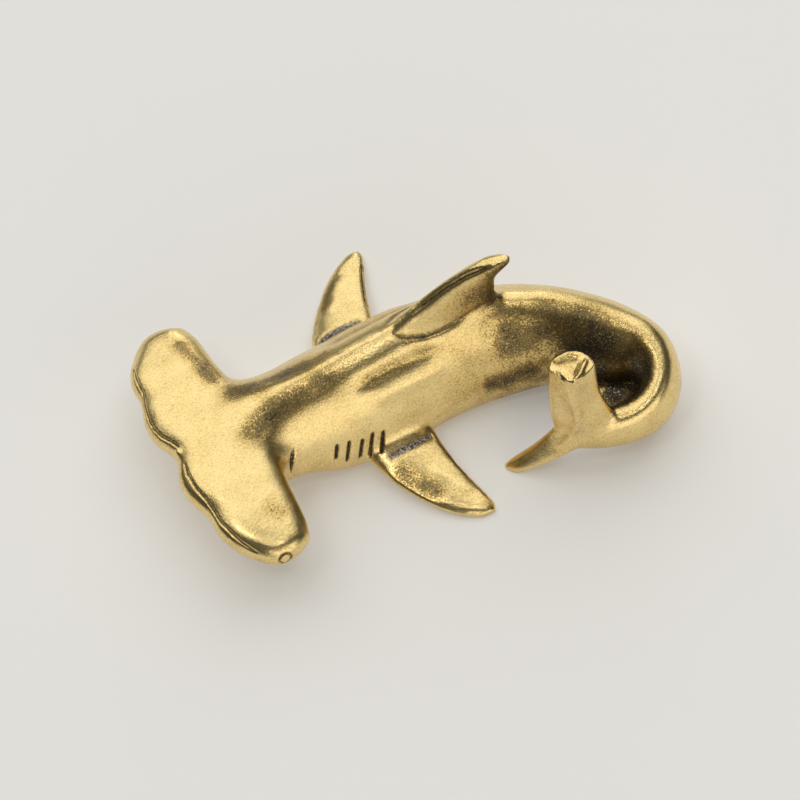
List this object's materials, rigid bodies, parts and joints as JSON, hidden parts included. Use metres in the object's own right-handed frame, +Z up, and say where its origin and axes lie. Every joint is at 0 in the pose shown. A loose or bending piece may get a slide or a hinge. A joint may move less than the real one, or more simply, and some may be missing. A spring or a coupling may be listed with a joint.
{
  "type": "shark figurine",
  "caption": "Solid cast brass figurine of a hammerhead shark with a curled tail, lying flat on its belly.",
  "frame": {"origin": "on the belly's flat, on the trunk's middle plane, about halfway along the object", "axes": "-X towards the nose, -Y towards the shark's left, which the tail curls to, +Z up from the surface that the shark lies on"},
  "size_m": [0.052, 0.0374, 0.0199],
  "materials": {
    "brass": "satin cast brass with polished edges and dark brown patina in the hollows"
  },
  "bodies": {
    "root": {"shark_casting": "brass"}
  },
  "joints": []
}
